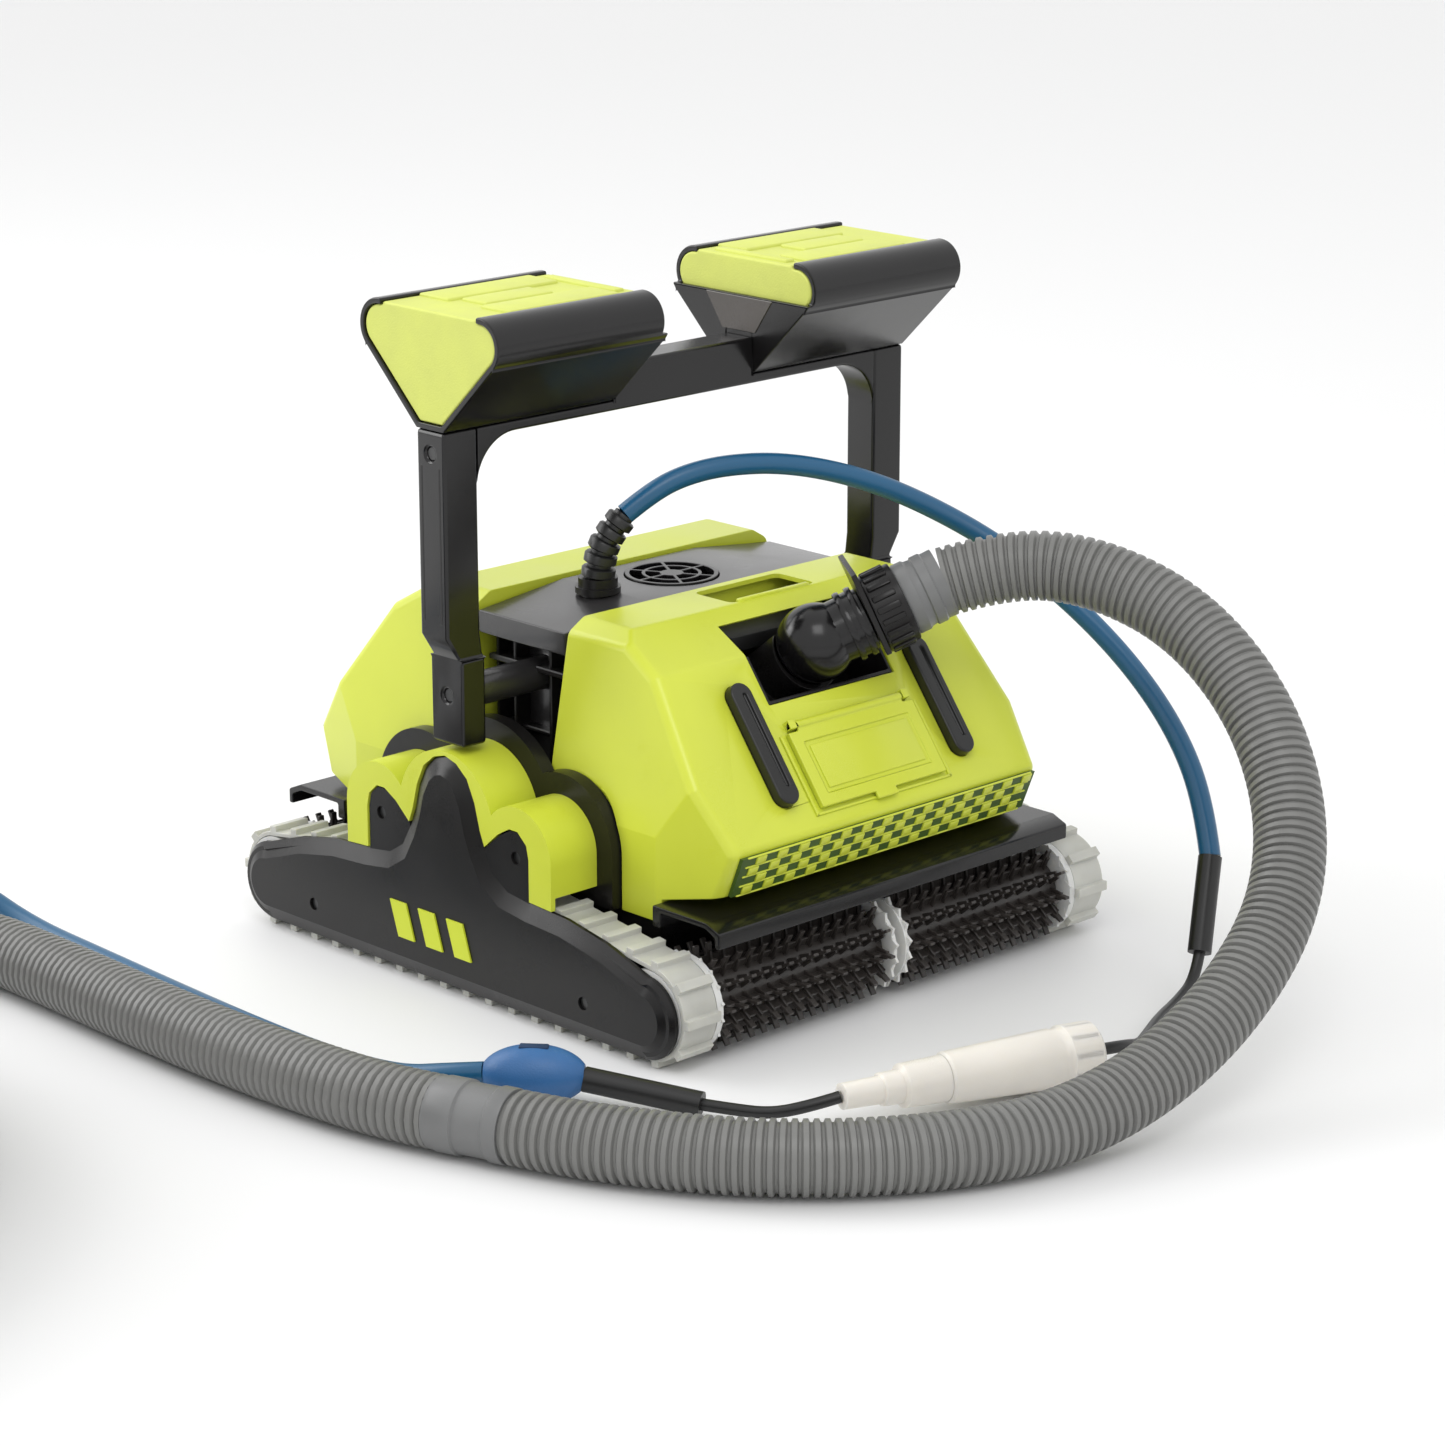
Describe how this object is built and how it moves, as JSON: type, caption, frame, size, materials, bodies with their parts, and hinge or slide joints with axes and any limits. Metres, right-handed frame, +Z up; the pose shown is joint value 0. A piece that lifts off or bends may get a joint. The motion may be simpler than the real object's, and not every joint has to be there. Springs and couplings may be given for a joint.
{
  "type": "robotic pool cleaner",
  "caption": "Tracked pool-cleaning robot with brush rollers, a carrying handle with floats, a suction hose on a ball elbow and a floating power cable with swivel",
  "frame": {"origin": "on the ground under the middle of the robot, at the centre of the base of its box without the hose and the cable", "axes": "+X to the robot's right, +Y to its rear, +Z up; the hose side and the hatch face -Y"},
  "size_m": [1.2782, 0.8785, 0.45],
  "materials": {
    "lime_shell": "satin gloss lime green",
    "black_plastic": "satin black",
    "black_gloss": "semi-gloss black",
    "belt": "milky ivory elastomer",
    "brush_rubber": "matt black rubber",
    "white_plastic": "white",
    "pad_rubber": "matt black rubber",
    "hose_grey": "mid grey, soft",
    "foam_lime": "closed-cell foam",
    "cable_blue": "blue sheath",
    "float_blue": "blue",
    "lead_black": "black sheath",
    "swivel_white": "white",
    "steel": "brushed",
    "badge": "lime print"
  },
  "bodies": {
    "robot": {"axle_pins": "steel", "base_tray": "black_plastic", "bottom_plate": "black_plastic", "brush_guards": "black_plastic", "bumper_pads": "pad_rubber", "cable_coil": "cable_blue", "cable_float": "float_blue", "cable_gland": "black_gloss", "cable_leads": "lead_black", "cable_plug": "black_plastic", "cable_sleeves": "lead_black", "cable_swivel": "swivel_white", "cable_tube": "cable_blue", "centre_housing": "black_gloss", "crossbar": "black_gloss", "drive_motors": "black_plastic", "float_blocks": "foam_lime", "float_housing_left": "black_gloss", "float_housing_right": "black_gloss", "front_cover": "lime_shell", "grille_strips": "lime_shell", "handle_post_left": "black_gloss", "handle_post_right": "black_gloss", "hinge_pins": "steel", "hose_coil": "hose_grey", "hose_collar": "black_plastic", "hose_cuffs": "hose_grey", "hose_elbow": "black_plastic", "hose_socket": "black_plastic", "hose_tube": "hose_grey", "outlet_grille": "black_gloss", "pump_motor": "black_plastic", "rear_cover": "lime_shell", "roller_brackets": "black_plastic", "screws": "steel", "side_arch_left": "lime_shell", "side_arch_right": "lime_shell", "side_badges": "badge", "side_frames": "black_plastic", "side_plate_left": "black_plastic", "side_plate_right": "black_plastic", "strain_relief": "pad_rubber", "suction_duct": "black_plastic", "track_left": "belt", "track_right": "belt"},
    "left_front_roller": {"roller_core_front_left": "white_plastic", "brush_front_left": "brush_rubber"},
    "right_front_roller": {"roller_core_front_right": "white_plastic", "brush_front_right": "brush_rubber"},
    "left_rear_roller": {"roller_core_rear_left": "white_plastic", "brush_rear_left": "brush_rubber"},
    "right_rear_roller": {"roller_core_rear_right": "white_plastic", "brush_rear_right": "brush_rubber"},
    "pulley_left": {"drive_pulley_left": "black_plastic"},
    "pulley_right": {"drive_pulley_right": "black_plastic"},
    "impeller_body": {"impeller": "black_gloss"},
    "hatch_body": {"hatch": "lime_shell"},
    "lock_body": {"lock_plate": "black_plastic"},
    "flap_front": {"inlet_flap_front": "black_plastic"},
    "flap_rear": {"inlet_flap_rear": "black_plastic"}
  },
  "joints": [
    {"name": "left_front_roller_spin", "type": "hinge", "parent": "robot", "child": "left_front_roller", "pos_m": [-0.09, -0.184, 0.035], "axis": [1, 0, 0], "continuous": true},
    {"name": "left_rear_roller_spin", "type": "hinge", "parent": "robot", "child": "left_rear_roller", "pos_m": [-0.09, 0.184, 0.035], "axis": [1, 0, 0], "continuous": true},
    {"name": "left_pulley_spin", "type": "hinge", "parent": "robot", "child": "pulley_left", "pos_m": [-0.15, 0, 0.066], "axis": [1, 0, 0], "continuous": true},
    {"name": "right_front_roller_spin", "type": "hinge", "parent": "robot", "child": "right_front_roller", "pos_m": [0.09, -0.184, 0.035], "axis": [1, 0, 0], "continuous": true},
    {"name": "right_rear_roller_spin", "type": "hinge", "parent": "robot", "child": "right_rear_roller", "pos_m": [0.09, 0.184, 0.035], "axis": [1, 0, 0], "continuous": true},
    {"name": "right_pulley_spin", "type": "hinge", "parent": "robot", "child": "pulley_right", "pos_m": [0.15, 0, 0.066], "axis": [1, 0, 0], "continuous": true},
    {"name": "impeller_spin", "type": "hinge", "parent": "robot", "child": "impeller_body", "pos_m": [0, 0, 0.21], "axis": [0, 0, 1], "continuous": true},
    {"name": "hatch_open", "type": "hinge", "parent": "robot", "child": "hatch_body", "pos_m": [0, -0.16329, 0.18474], "axis": [-1, 0, 0], "range_deg": [0, 75]},
    {"name": "lock_slide", "type": "slide", "parent": "robot", "child": "lock_body", "axis": [-0.3329, 0.2457, 0.9104], "range_m": [0, 0.026]},
    {"name": "front_flap_open", "type": "hinge", "parent": "robot", "child": "flap_front", "pos_m": [0, -0.047, 0.0166], "axis": [-1, 0, 0], "range_deg": [0, 50]},
    {"name": "rear_flap_open", "type": "hinge", "parent": "robot", "child": "flap_rear", "pos_m": [0, 0.047, 0.0166], "axis": [1, 0, 0], "range_deg": [0, 50]}
  ],
  "couplings": [
    {"joint": "left_rear_roller_spin", "follows": "left_front_roller_spin", "ratio": 1},
    {"joint": "left_pulley_spin", "follows": "left_front_roller_spin", "ratio": 1.2727},
    {"joint": "right_rear_roller_spin", "follows": "right_front_roller_spin", "ratio": 1},
    {"joint": "right_pulley_spin", "follows": "right_front_roller_spin", "ratio": 1.2727}
  ]
}
